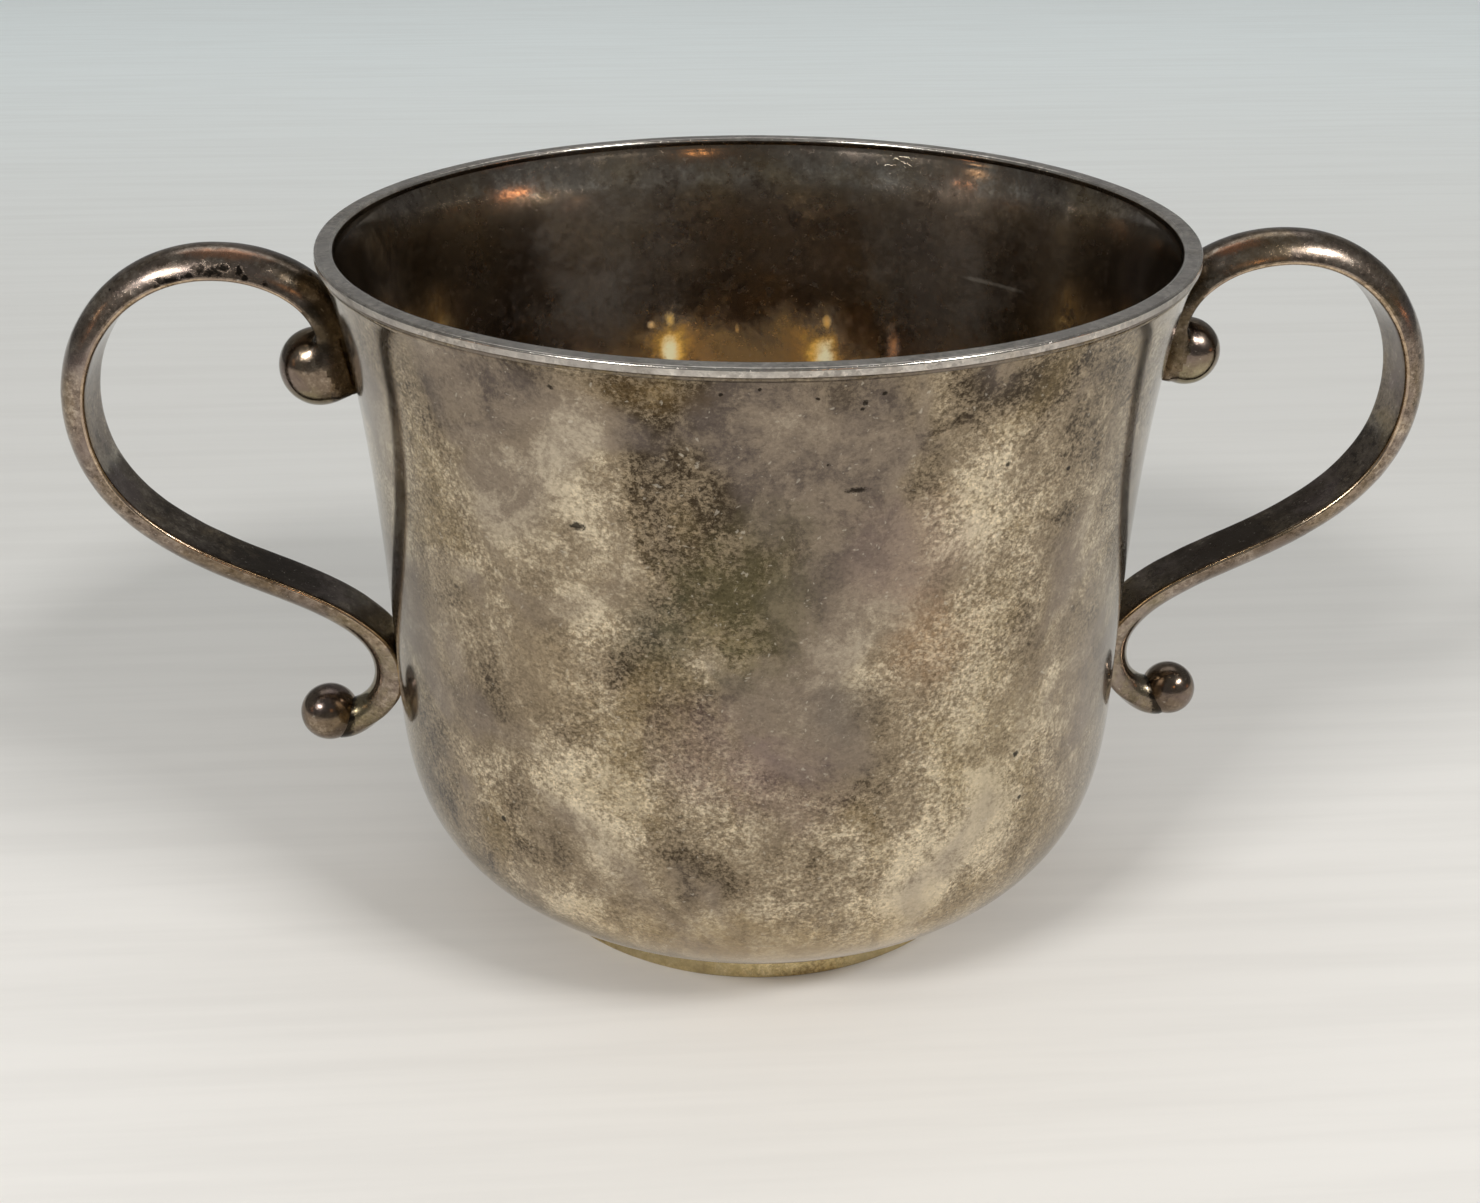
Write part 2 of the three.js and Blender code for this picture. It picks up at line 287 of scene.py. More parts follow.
def oldSilver(name, look):  # silver under tarnish: clouds, chosen patches, grain, scratches and pits; where a finish lists them, its patches, stains and marks also paint shade and reflection, and its gleams paint highlights
    material, tree, shader, coords = startMaterial(name)

    def effect(group, **feeds):
        return place(tree, group, dict(feeds, Vector=coords))

    def spot(centre, size, torn, amount, **feeds):
        return effect(spotGroup, Centre=Vector(centre) * mm, Size=Vector(size) * mm, Ragged=torn,
                      Amount=amount, **feeds)["Mask"]

    clouds = effect(cloudGroup, Size=look["cloudSize"] * mm, Streak=look["streak"], Seed=look["seed"])
    mottles = effect(mottleGroup, Size=look["mottleSize"] * mm, Seed=look["seed"])
    grain = effect(grainGroup, Size=look["grainSize"] * mm)
    hue, ragged = clouds["Hue"], times(mottles["Ragged"], 3.0)
    broken = ramp(hue, 0.1, 0.8, 0.35, 1.25)  # some places are smooth, others broken up
    thickness = plus(times(clouds["Thickness"], look["cloudDepth"]), look["cloudBase"])
    thickness = plus(thickness, times(mottles["Thickness"], look["mottleDepth"]))
    thickness = plus(thickness, times(times(grain["Flakes"], broken), look["flakeDepth"]))
    # patches change the tarnish's thickness; some stand in for reflected light and shade
    for centre, size, amount in look["patches"]:
        thickness = plus(thickness, spot(centre, size, ragged, amount))
    colour = blendColour(ramp(thickness, -0.35, 0.5), srgb(*look["clean"]), srgb(*look["middle"]))
    colour = blendColour(ramp(thickness, 0.45, 1.25), colour, srgb(*look["thick"]))
    colour = blendColour(ramp(hue, 0.55, 1.0, 0.0, look["hueDepth"]), colour, srgb(*look["warmHue"]))
    colour = blendColour(ramp(hue, 0.45, 0.0, 0.0, look["hueDepth"]), colour, srgb(*look["coolHue"]))
    # stains, and in places painted shade, glow or reflection
    for centre, size, amount, patchColour in look["stainsAndPaintedLight"]:
        colour = blendColour(spot(centre, size, ragged, amount), colour, srgb(*patchColour))
    for speck, depth, tint in (("Light", look["grainDepth"], (1.5, 1.48, 1.45, 1)),
                               ("Dark", look["grainDepth"], (0.52, 0.5, 0.5, 1)),
                               ("Frost", look["frostDepth"], (1.7, 1.7, 1.66, 1))):
        tinted = blendColour(1.0, colour, tint, "MULTIPLY")
        colour = blendColour(times(times(grain[speck], broken), depth), colour, tinted)
    scratches = effect(scratchGroup, Spacing=look["scratchSpacing"] * mm,
                       Amount=look["scratchDepth"])["Mask"]
    colour = blendColour(scratches, colour, srgb(*look["bright"]))
    pits = effect(pitGroup, Spacing=look["pitSpacing"] * mm, Radius=look["pitRadius"],
                  Share=look["pitShare"])["Mask"]
    flaked = times(grain["Flakes"], 1.2)
    # the marks join the pits: real marks, and on the strap painted shade in the creases by the lower balls
    for centre, size, softness in look["marks"]:
        pits = maths("MAXIMUM", pits, spot(centre, size, flaked, 0.9, Softness=softness))
    colour = blendColour(pits, colour, srgb(*look["darkMarkColour"]))
    # painted highlights: where a finish lists gleams, bright colour that is not metallic takes the place of
    # the metal
    matt = 0.0
    for centre, size, amount, gleamColour in look["paintedGleams"]:
        mask = spot(centre, size, ragged, amount)
        colour = blendColour(mask, colour, srgb(*gleamColour))
        matt = maths("MAXIMUM", matt, mask)
    tree.links.new(colour, shader.inputs["Base Color"])
    shader.inputs["Metallic"].default_value = 1.0
    if look["paintedGleams"]:
        tree.links.new(minus(1.0, matt), shader.inputs["Metallic"])
    facing = node(tree, "ShaderNodeLayerWeight", {"Blend": 0.5}).outputs["Facing"]
    roughness = plus(look["rough"], times(thickness, look["roughClouds"]))
    roughness = plus(roughness, times(grain["Dark"], 0.08))
    roughness = blendValue(ramp(facing, 0.46, 0.6), roughness, look["limbRough"])
    tree.links.new(maths("MAXIMUM", roughness, 0.05), shader.inputs["Roughness"])
    height = minus(times(grain["Height"], look["grainHeight"]), pits)
    height = minus(height, times(scratches, 0.25))
    bump = node(tree, "ShaderNodeBump", {"Strength": 0.25, "Distance": 0.00004, "Height": height})
    tree.links.new(bump.outputs[0], shader.inputs["Normal"])
    return material


# What each finish looks like. Places are in the cup's own frame: +X to the right handle, -Y to the front.

bodyLook = dict(
    clean=(216, 202, 176), middle=(148, 133, 111), thick=(68, 58, 46), bright=(214, 205, 188),
    warmHue=(142, 124, 90), coolHue=(130, 119, 114), hueDepth=0.42, cloudSize=15, streak=0.6,
    seed=(3.1, 0.4, 1.7), cloudDepth=0.5, cloudBase=0.16, mottleSize=7, mottleDepth=0.4, grainSize=0.52,
    flakeDepth=0.55, grainDepth=0.5, grainHeight=0.4, frostDepth=0.12, scratchSpacing=0.55, scratchDepth=0.4,
    pitSpacing=5.5, pitRadius=0.05, pitShare=0.15, darkMarkColour=(34, 29, 24), paintedGleams=[], rough=0.4,
    limbRough=0.06, roughClouds=0.04)
# centre, size, change of thickness: tarnish, and partly painted reflection: the thinner, lighter columns
# high on the front near x = -19 and x = 18, the thicker, darker middle between them and the thinner, lighter
# bottom stand in for the lit and shaded floor that the wall reflects
bodyLook["patches"] = [
    ((-19, -41, 70), (6, 10, 14), -0.7), ((-17, -40, 56), (6, 10, 9), -0.35),
    ((18, -41, 66), (7, 10, 12), -0.6), ((22, -38, 62), (7, 9, 10), -0.5), ((7, -43, 54), (5, 9, 6), -0.25),
    ((2, -44, 62), (8, 9, 9), -0.3), ((-22, -37, 33), (7, 10, 7), -0.5), ((-15, -40, 32), (6, 9, 7), -0.5),
    ((-18, -38, 24), (5, 8, 4), -0.35), ((-25, -35, 18), (9, 10, 5), -0.45),
    ((17, -39, 22), (10, 12, 8), -0.5), ((18, -39, 30), (8, 9, 7), -0.5), ((24, -36, 30), (9, 9, 8), -0.35),
    ((20, -38, 42), (14, 12, 16), -0.2), ((0, -46, 74), (9, 9, 6), -0.2), ((-31, -29, 30), (6, 9, 7), -0.3),
    ((0, -28, 8), (60, 30, 12), -0.25), ((11, -41, 19), (10, 9, 4), -0.3),
    ((-2, -44, 38), (28, 12, 20), -0.12), ((-5, -45, 66), (20, 12, 24), 0.34),
    ((-10, -44, 68), (9, 10, 18), 0.3), ((-4, -43, 56), (10, 9, 12), 0.3),
    ((-13, -41, 47), (10, 9, 7), 0.35), ((-24, -40, 77), (15, 10, 4), 0.5),
    ((22, -40, 76), (13, 10, 6), 0.6), ((0, -47, 77), (11, 8, 3), 0.4), ((-31, -33, 72), (8, 10, 8), 0.35),
    ((-33, -29, 53), (7, 9, 8), 0.3), ((-24, -36, 38), (7, 9, 5), 0.25), ((-11, -42, 42), (7, 9, 6), 0.35),
    ((5, -43, 42), (8, 9, 7), 0.3), ((7, -43, 36), (9, 9, 5), 0.4), ((-10, -42, 30), (5, 8, 8), 0.22),
    ((-33, -27, 21), (9, 10, 9), 0.4), ((-7, -42, 24), (14, 9, 5), 0.4), ((1, -43, 26), (8, 9, 4), 0.25),
    ((6, -44, 60), (8, 9, 7), 0.2), ((14, -44, 73), (10, 10, 6), 0.3), ((28, -34, 56), (4, 9, 9), 0.3),
    ((28, -35, 68), (7, 10, 12), 0.25), ((24, -36, 47), (6, 9, 6), 0.4), ((32, -30, 45), (6, 9, 8), 0.4),
    ((-38, -21, 29), (6, 9, 12), 0.4), ((-16, -43, 78), (6, 8, 3), 0.3), ((25, -38, 71), (6, 9, 6), 0.3),
    ((-26, -38, 73), (6, 9, 5), 0.3), ((-6, -45, 72), (7, 9, 6), 0.22), ((-13, -42, 60), (5, 9, 6), -0.3),
    ((19, -40, 66), (5, 9, 7), -0.25), ((-37, -24, 56), (5, 9, 10), -0.25), ((13, -41, 52), (9, 9, 6), -0.2),
    ((11, -42, 24), (8, 9, 4), -0.2),
]
# centre, size, strength, colour: tarnish stains, but the broad pale one low at the front is partly painted
# reflection of the lit floor
bodyLook["stainsAndPaintedLight"] = [
    ((-4, -43, 56), (9, 9, 12), 0.45, (112, 106, 76)), ((-8, -42, 38), (9, 9, 9), 0.35, (144, 124, 120)),
    ((12, -42, 60), (9, 9, 9), 0.3, (172, 150, 138)), ((-13, -45, 77), (8, 6, 2.6), 0.35, (112, 90, 54)),
    ((6, -43, 43), (5, 7, 6), 0.35, (84, 80, 80)), ((14, -41, 50), (7, 8, 8), 0.35, (152, 118, 88)),
    ((-11, -42, 51), (7, 7, 6), 0.35, (94, 96, 82)), ((0, -44, 35), (8, 9, 8), 0.3, (148, 128, 122)),
    ((-24, -36, 46), (8, 9, 9), 0.3, (166, 148, 120)), ((22, -38, 35), (11, 9, 13), 0.25, (172, 156, 120)),
    ((2, -34, 10), (40, 22, 12), 0.45, (180, 158, 116)),
]
# centre, size, softness
bodyLook["marks"] = [
    ((-6.3, -46.4, 77.3), (0.2, 0.4, 0.2), 0.4), ((2.0, -46.7, 76.9), (0.3, 0.4, 0.25), 0.4),
    ((6.3, -46.2, 76.2), (0.45, 0.5, 0.35), 0.4), ((6.1, -46.1, 75.6), (0.3, 0.4, 0.25), 0.4),
    ((7.9, -46.1, 77.1), (0.35, 0.4, 0.25), 0.4), ((3.3, -45.4, 70.1), (0.25, 0.4, 0.25), 0.4),
    ((-19.3, -39.9, 62.4), (0.9, 0.8, 0.45), 0.4), ((6.1, -44.6, 67.4), (1.3, 0.6, 0.3), 0.4),
    ((20.6, -40.0, 67.7), (0.3, 0.4, 0.3), 0.4), ((27.6, -35.1, 65.1), (0.3, 0.4, 0.3), 0.4),
    ((24.8, -35.4, 33.2), (0.4, 0.5, 0.4), 0.4), ((25.8, -34.6, 27.3), (0.3, 0.4, 0.3), 0.4),
    ((-28.9, -32.0, 24.9), (0.35, 0.5, 0.4), 0.4), ((-21.2, -41.6, 76.6), (0.5, 0.4, 0.3), 0.4),
    ((-3.0, -46.9, 77.9), (0.2, 0.4, 0.2), 0.4),
]


def changed(base, **changes):  # another finish that keeps the rest of its base, without its chosen places
    return dict(base, patches=[], stainsAndPaintedLight=[], marks=[], **changes)


insideLook = changed(
    bodyLook, clean=(214, 204, 190), middle=(172, 160, 145), thick=(116, 104, 92),
    bright=(214, 204, 188), warmHue=(176, 152, 108), coolHue=(140, 132, 136), hueDepth=0.4,
    cloudSize=18, streak=1.3, seed=(0.3, 2.4, 5.1), cloudDepth=0.8, cloudBase=0.1, mottleDepth=0.5,
    grainSize=1.5, flakeDepth=0.5, grainDepth=0.3, frostDepth=0.1, pitSpacing=9, pitShare=0.08, rough=0.13,
    limbRough=0.12, roughClouds=0.1)
# centre, size, change of thickness: painted reflection, lighter and darker upright bands on the far wall
# that stand in for what the inside reflects
insideLook["patches"] = [
    ((-21, 37, 66), (9, 14, 24), -0.6), ((29, 31, 66), (8, 14, 24), -0.45), ((6, 43, 68), (9, 10, 22), 0.3),
    ((-40, 14, 66), (9, 20, 26), -0.2), ((41, 10, 66), (9, 20, 26), -0.15),
]
# centre, size, strength, colour: golden towards the bottom; a painted glow low on the far wall; painted
# shade along the top of the inner wall, dimming a bright reflected line
insideLook["stainsAndPaintedLight"] = [
    ((0, 0, 6), (70, 70, 36), 0.75, (240, 202, 124)), ((2, 42, 49), (36, 14, 13), 0.6, (214, 176, 104)),
    ((0, 0, 80), (400, 400, 6.5), 0.7, (94, 84, 76)),
]
# painted highlights and glow, as colour that is not metallic: two pale hazes, the gold glow and gleams low
# on the far wall that stand in for reflected light, and last a pale arc: centre, size, strength, colour
insideLook["paintedGleams"] = [
    ((-17, 40, 63), (16, 18, 30), 0.1, (160, 150, 140)), ((27, 33, 63), (14, 18, 28), 0.08, (160, 148, 136)),
    ((2, 42, 49.0), (36, 8, 10), 0.34, (176, 124, 54)),
    ((-8.8, 41.5, 52.0), (6.5, 4, 9), 0.5, (196, 142, 62)),
    ((12.0, 41.5, 51.2), (7.0, 4, 8), 0.5, (196, 142, 62)),
    ((-9.0, 41.5, 51.4), (3.4, 3, 5.2), 1.0, (246, 192, 92)),
    ((12.2, 41.5, 51.0), (3.6, 3, 5.4), 1.0, (246, 192, 92)),
    ((-9.2, 41.5, 51.2), (1.5, 3, 3.2), 1.0, (255, 244, 196)),
    ((12.4, 41.5, 50.8), (1.7, 3, 3.4), 1.0, (255, 244, 200)),
    ((-9.0, 41.5, 56.3), (1.3, 3, 2.0), 0.9, (250, 204, 110)),
    ((-11.7, 41.5, 55.8), (0.9, 3, 1.0), 0.9, (255, 206, 136)),
    ((0.3, 41.5, 54.6), (0.7, 3, 1.4), 0.8, (240, 180, 84)),
    ((12.6, 41.5, 55.8), (1.1, 3, 1.5), 0.8, (244, 190, 96)),
    ((21.3, 38.0, 53.0), (1.7, 4, 4.2), 0.8, (226, 150, 84)),
    ((33.0, 30.0, 64.5), (7.5, 9, 0.5), 0.22, (196, 190, 176)),
]
rimLook = changed(
    bodyLook, clean=(212, 206, 198), middle=(190, 183, 175), thick=(142, 134, 125),
    bright=(228, 224, 217), warmHue=(150, 138, 122), coolHue=(140, 134, 132), hueDepth=0.3,
    cloudSize=9, seed=(7.1, 3.2, 0.5), mottleSize=2.5, grainSize=0.9, flakeDepth=0.35, grainDepth=0.4,
    grainHeight=0.6, pitSpacing=2.5, pitRadius=0.06, limbRough=0.32)
wornLook = changed(
    rimLook, clean=(228, 222, 212), middle=(204, 196, 186), thick=(150, 141, 130), rough=0.16,
    limbRough=0.16)
footLook = changed(
    bodyLook, clean=(222, 207, 166), middle=(194, 176, 132), thick=(128, 108, 74),
    bright=(232, 216, 170), warmHue=(178, 150, 92), coolHue=(156, 144, 118), cloudSize=10,
    seed=(1.1, 6.2, 2.5), mottleSize=3, flakeDepth=0.4, grainDepth=0.35, rough=0.28, limbRough=0.16)
strapLook = changed(
    bodyLook, clean=(198, 184, 168), middle=(136, 121, 108), thick=(68, 58, 50),
    bright=(218, 206, 190), warmHue=(142, 122, 88), coolHue=(120, 106, 107), hueDepth=0.4,
    cloudSize=9, seed=(5.3, 1.2, 4.5), cloudBase=0.25, mottleSize=3, grainSize=0.8, flakeDepth=0.4,
    grainDepth=0.35, grainHeight=0.3, frostDepth=0.15, scratchSpacing=0.4, scratchDepth=0.35,
    pitSpacing=3.5, pitRadius=0.06, pitShare=0.12, rough=0.17, limbRough=0.1, roughClouds=0.08)
# centre, size, strength, colour: darker on the runs; at the upper seats darker tarnish and painted shade for
# a dark reflection; olive on the horns; last, painted copper reflections on the two arches
strapLook["stainsAndPaintedLight"] = [
    ((-58, 0, 41), (20, 10, 11), 0.65, (98, 82, 64)), ((58, 0, 41), (20, 10, 11), 0.5, (98, 82, 64)),
    ((-47, 0, 69), (9.5, 14, 17), 0.95, (66, 56, 41)), ((47, 0, 69), (9.5, 14, 17), 0.9, (76, 65, 47)),
    ((-49, 0, 26), (9, 8, 13), 0.7, (136, 125, 94)), ((49, 0, 26), (9, 8, 13), 0.7, (136, 125, 94)),
    ((-57.5, -1.9, 78.1), (6, 0.9, 1.6), 0.5, (220, 150, 108)),
    ((53.0, -1.9, 77.1), (5, 0.9, 1.6), 0.5, (216, 140, 94)),
]
# casting pits on the left arch, then painted shade: dark lines in the creases where the horns meet their
# balls
strapLook["marks"] = [
    ((-64.6, -3.1, 75.1), (0.5, 1.2, 0.35), 0.35), ((-63.2, -3.1, 75.7), (1.6, 1.2, 0.45), 0.35),
    ((-61.1, -3.0, 76.2), (1.1, 1.2, 0.45), 0.35), ((-59.9, -2.9, 76.7), (1.1, 1.2, 0.75), 0.4),
    ((-58.6, -3.0, 76.5), (1.8, 1.2, 0.6), 0.4), ((-57.5, -2.8, 76.9), (1.1, 1.2, 0.5), 0.4),
    ((-55.8, -2.9, 76.5), (0.5, 1.1, 0.7), 0.35), ((-55.2, -3.1, 75.9), (0.5, 1.0, 0.4), 0.3),
    ((-53.2, -3.0, 75.2), (0.5, 0.9, 0.4), 0.3), ((-52.3, 0, 19.9), (3.85, 3.85, 3.85), 0.06),
    ((52.3, 0, 19.9), (3.65, 3.65, 3.65), 0.06),
]
flatLook = changed(
    strapLook, clean=(164, 152, 136), middle=(112, 100, 87), thick=(58, 49, 41),
    seed=(1.3, 4.2, 7.5))
# as on the round side, painted shade at the upper seats and olive on the horns; darker still on the runs
flatLook["stainsAndPaintedLight"] = strapLook["stainsAndPaintedLight"][2:6] + [
    ((-57, 0, 41), (22, 10, 11), 1.0, (54, 44, 33)),
    ((57, 0, 41), (22, 10, 11), 0.95, (60, 49, 37)),
]
edgeLook = changed(
    strapLook, clean=(226, 206, 180), middle=(190, 168, 142), thick=(118, 100, 82),
    seed=(3.3, 6.2, 4.5), cloudSize=5, rough=0.14, limbRough=0.12)
knobLook = changed(
    strapLook, clean=(178, 162, 142), middle=(122, 107, 92), thick=(80, 68, 58),
    seed=(2.3, 9.2, 1.5), flakeDepth=0.3, grainDepth=0.2, rough=0.14, limbRough=0.08)
# painted reflection: the lower halves of the upper balls lighter and olive, standing in for the floor they
# reflect
knobLook["stainsAndPaintedLight"] = [
    ((-50, -2, 61.5), (5, 5, 3.5), 0.6, (146, 136, 104)), ((50, -2, 62), (5, 5, 4), 0.7, (164, 154, 122)),
]
solderLook = changed(
    strapLook, clean=(206, 176, 118), middle=(176, 144, 90), thick=(120, 96, 60),
    seed=(4.4, 4.2, 0.5), cloudSize=3, rough=0.26, limbRough=0.2)
seamLook = changed(
    bodyLook, clean=(150, 139, 123), middle=(124, 113, 98), thick=(88, 78, 66),
    seed=(8.4, 0.2, 3.5), cloudSize=4, limbRough=0.3)

bodySilver = oldSilver("bodySilver", bodyLook)
insideSilver = oldSilver("insideSilver", insideLook)
rimSilver = oldSilver("rimSilver", rimLook)
wornRim = oldSilver("wornRim", wornLook)
footSilver = oldSilver("footSilver", footLook)
strapSilver = oldSilver("strapSilver", strapLook)
wornEdge = oldSilver("wornEdge", edgeLook)
flatSilver = oldSilver("flatSilver", flatLook)
knobSilver = oldSilver("knobSilver", knobLook)
brightSolder = oldSilver("brightSolder", solderLook)
darkSeam = oldSilver("darkSeam", seamLook)
print("finishes mixed:", len(bpy.data.materials))


# Mesh helpers, in millimetres

def meshFrom(name, points, faces, edges=()):
    mesh = bpy.data.meshes.new(name)
    mesh.from_pydata([tuple(map(float, p)) for p in points], edges, faces)
    mesh.validate()
    mesh.shade_smooth()
    return added(name, mesh)


def rounded(x, y, radius, start, end, steps=6):  # an arc of an outline
    angles = np.radians(np.linspace(start, end, steps + 1))
    return [(x + radius * math.cos(a), y + radius * math.sin(a)) for a in angles]


def circle(radius, height, steps):
    return [(x, y, height) for x, y in rounded(0, 0, radius, 0, 360, steps)[:-1]]


def facingOut(made):  # a closed shell whose volume is negative is inside out
    shell = bmesh.new()
    shell.from_mesh(made.data)
    if shell.calc_volume(signed=True) < 0:
        made.data.flip_normals()
    shell.free()
    return made


def turned(name, outline, steps):  # revolve (radius, height) points, a closed outline or one from the axis
    points, rings = [], []
    for radius, height in outline:
        onAxis = radius < 1e-6
        rings.append([len(points)] * steps if onAxis else list(range(len(points), len(points) + steps)))
        points += [(0, 0, height)] if onAxis else circle(radius, height, steps)
    faces = []
    fromAxis = outline[0][0] < 1e-6
    for lower, upper in zip(rings, rings[1:] + ([] if fromAxis else rings[:1])):
        for step in range(steps):
            after = (step + 1) % steps
            corners = [lower[step], lower[after], upper[after], upper[step]]
            kept = [c for i, c in enumerate(corners) if c not in corners[:i]]
            if len(kept) > 2:
                faces.append(kept)
    return facingOut(meshFrom(name, points, faces))


def travelOf(points):  # the direction of a line at each of its points
    travel = np.gradient(points, axis=0)
    return travel / np.linalg.norm(travel, axis=1)[:, None]


def bezier(a, b, c, d, steps):
    t = np.linspace(0, 1, steps + 1)[:, None]
    return (1 - t) ** 3 * a + 3 * (1 - t) ** 2 * t * b + 3 * (1 - t) * t * t * c + t ** 3 * d


def finishWith(made, *materials):
    made.data.materials.clear()
    for material in materials:
        made.data.materials.append(material)


def finishPiece(made, replaced=(), material=None):
    made.data.transform(Matrix.Scale(mm, 4))
    if material:
        finishWith(made, material)
    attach(made, "root")
    if replaced:
        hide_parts(*replaced)


# A tree that works a surface by hand: the skin moves in and out a little, as hammering leaves it

def makeHandworkTree():
    inputs = {"Geometry": None, "Depth": 0.03, "Mark Size": 14.0, "Seed": 1.0}
    tree, given, give = newGroup("handwork", inputs, ["Geometry"], "GeometryNodeTree")
    marks = node(tree, "ShaderNodeTexNoise", {"W": given["Seed"], "Detail": 1.0,
                                              "Scale": maths("DIVIDE", 1.0, given["Mark Size"])},
                 noise_dimensions="4D")
    depth = times(minus(marks.outputs[0], 0.5), given["Depth"])
    along = vectorMaths("SCALE", node(tree, "GeometryNodeInputNormal").outputs[0], depth)
    moved = node(tree, "GeometryNodeSetPosition", {"Geometry": given["Geometry"], "Offset": along})
    return give(Geometry=moved.outputs[0])


def makeSolderTree():  # a thread of solder along a path, thicker and thinner as it ran
    inputs = {"Geometry": None, "Radius": 0.2, "Unevenness": 0.4, "Step": 0.4, "Seed": 1.0, "Material": None}
    tree, given, give = newGroup("solderThread", inputs, ["Geometry"], "GeometryNodeTree")
    path = node(tree, "GeometryNodeMeshToCurve", {"Mesh": given["Geometry"]})
    even = node(tree, "GeometryNodeResampleCurve", {"Curve": path.outputs[0], "Length": given["Step"]},
                mode="LENGTH")
    flow = node(tree, "ShaderNodeTexNoise", {"W": given["Seed"], "Scale": 0.35, "Detail": 2.0},
                noise_dimensions="4D")
    swing = times(minus(flow.outputs[0], 0.5), given["Unevenness"])
    radius = times(given["Radius"], plus(1.0, times(swing, 2.0)))
    section = node(tree, "GeometryNodeCurvePrimitiveCircle", {"Resolution": 10, "Radius": 1.0},
                   mode="RADIUS")
    thread = node(tree, "GeometryNodeCurveToMesh", {"Curve": even.outputs[0], "Fill Caps": True,
                                                    "Profile Curve": section.outputs[0], "Scale": radius})
    real = node(tree, "GeometryNodeRealizeInstances", {"Geometry": thread.outputs[0]})
    smooth = node(tree, "GeometryNodeSetShadeSmooth", {"Geometry": real.outputs[0]})
    named = node(tree, "GeometryNodeSetMaterial", {"Geometry": smooth.outputs[0],
                                                   "Material": given["Material"]})
    return give(Geometry=named.outputs[0])


handworkTree = makeHandworkTree()
solderTree = makeSolderTree()


def keepPlain(made, modifier):  # what the modifier makes becomes the piece's own mesh
    graph = bpy.context.evaluated_depsgraph_get()
    result = bpy.data.meshes.new_from_object(made.evaluated_get(graph))
    made.modifiers.remove(modifier)
    made.data = result


def worked(made, tree, values):  # run a tree on a piece
    modifier = made.modifiers.new("work", "NODES")
    modifier.node_group = tree
    for item in tree.interface.items_tree:
        if item.in_out == "INPUT" and item.name in values:
            modifier[item.identifier] = values[item.name]
    keepPlain(made, modifier)
    return made


# Bowl

bowl = {
    "bellyRadius": 43.2, "bellyHeight": 33.0, "squareness": 3.9, "flareHeight": 5.0, "flareLead": 0.45,
    "upright": 0.5, "wall": 1.1, "lipRound": 0.25,
    "underSteps": 60,  # of the rounded bottom, up to the widest place
    "lipThickening": 0.6,  # the wall is thicker at the lip, so that it meets the inner edge of the rim
    "lipRise": 0.5,  # and on the inside it is let into the rim
    "lipDepth": 15,
    "steps": 320,
    "marks": {"Depth": 0.09, "Mark Size": 15.0, "Seed": 3.0},
}
bowlLow, bowlHigh = (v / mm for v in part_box("bowl"))
bowl["bottom"], bowl["lipHeight"], bowl["lipRadius"] = bowlLow.z, bowlHigh.z, bowlHigh.x


def bowlOutline():
    angle = np.linspace(0, math.pi / 2, bowl["underSteps"] + 1)
    depth = bowl["bellyHeight"] - bowl["bottom"]
    out = np.sin(angle) ** (2 / bowl["squareness"])
    down = np.clip(np.cos(angle), 0, 1) ** (2 / bowl["squareness"])
    under = np.column_stack([bowl["bellyRadius"] * out, bowl["bellyHeight"] - depth * down])
    start, end = bowl["bellyHeight"], bowl["lipHeight"] - bowl["lipRound"]
    flare = bowl["lipRadius"] - bowl["bellyRadius"]
    corners = [(bowl["bellyRadius"], start),
               (bowl["bellyRadius"], lerp(start, end, bowl["upright"])),
               (bowl["bellyRadius"] + flare * bowl["flareLead"], end - bowl["flareHeight"]),
               (bowl["lipRadius"], end)]
    wall = bezier(*map(np.array, corners), 70)
    under[0, 0] = 0
    return np.vstack([under, wall[1:]])


def offsetOutline(outline, distance):
    travel = travelOf(outline)
    return outline + np.column_stack([travel[:, 1], -travel[:, 0]]) * distance


bowlOutside = bowlOutline()


def wallRadiusAt(height):
    return np.interp(height, bowlOutside[:, 1], bowlOutside[:, 0])


def makeBowl():
    inside = offsetOutline(bowlOutside, -bowl["wall"])
    inside[0, 0] = 0
    inside[-1, 1] = bowl["lipHeight"] + bowl["lipRise"]
    nearLip = smoothStep(bowl["lipHeight"] - bowl["lipDepth"], bowl["lipHeight"], inside[:, 1])
    inside[:, 0] -= bowl["lipThickening"] * nearLip
    inside = np.vstack([inside, inside[-1] + (0.02, 0.1)])  # hidden in the rim, where the shading turns
    r = bowl["lipRound"]
    edge = rounded(bowl["lipRadius"] - r, bowl["lipHeight"] - r, r, 0, 90)[1:]
    outline = [tuple(p) for p in bowlOutside] + edge + [tuple(p) for p in inside[::-1]]
    made = turned("silver_bowl", outline, bowl["steps"])
    worked(made, handworkTree, bowl["marks"])
    finishWith(made, bodySilver, insideSilver)
    firstInside = (len(bowlOutside) + len(edge)) * bowl["steps"]  # its faces go ring by ring
    for face in made.data.polygons[firstInside:]:
        face.material_index = 1
    finishPiece(made, ["bowl"])


makeBowl()
print("bowl raised")

# Rim band

rim = {"width": 2.0, "edge": 0.32, "underEdge": 0.12, "innerEdge": 0.4, "steps": 320,
       "marks": {"Depth": 0.08, "Mark Size": 6.0, "Seed": 8.0}, "seam": 0.34, "seamOut": 0.12}
rimLow, rimHigh = (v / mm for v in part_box("rim_band"))


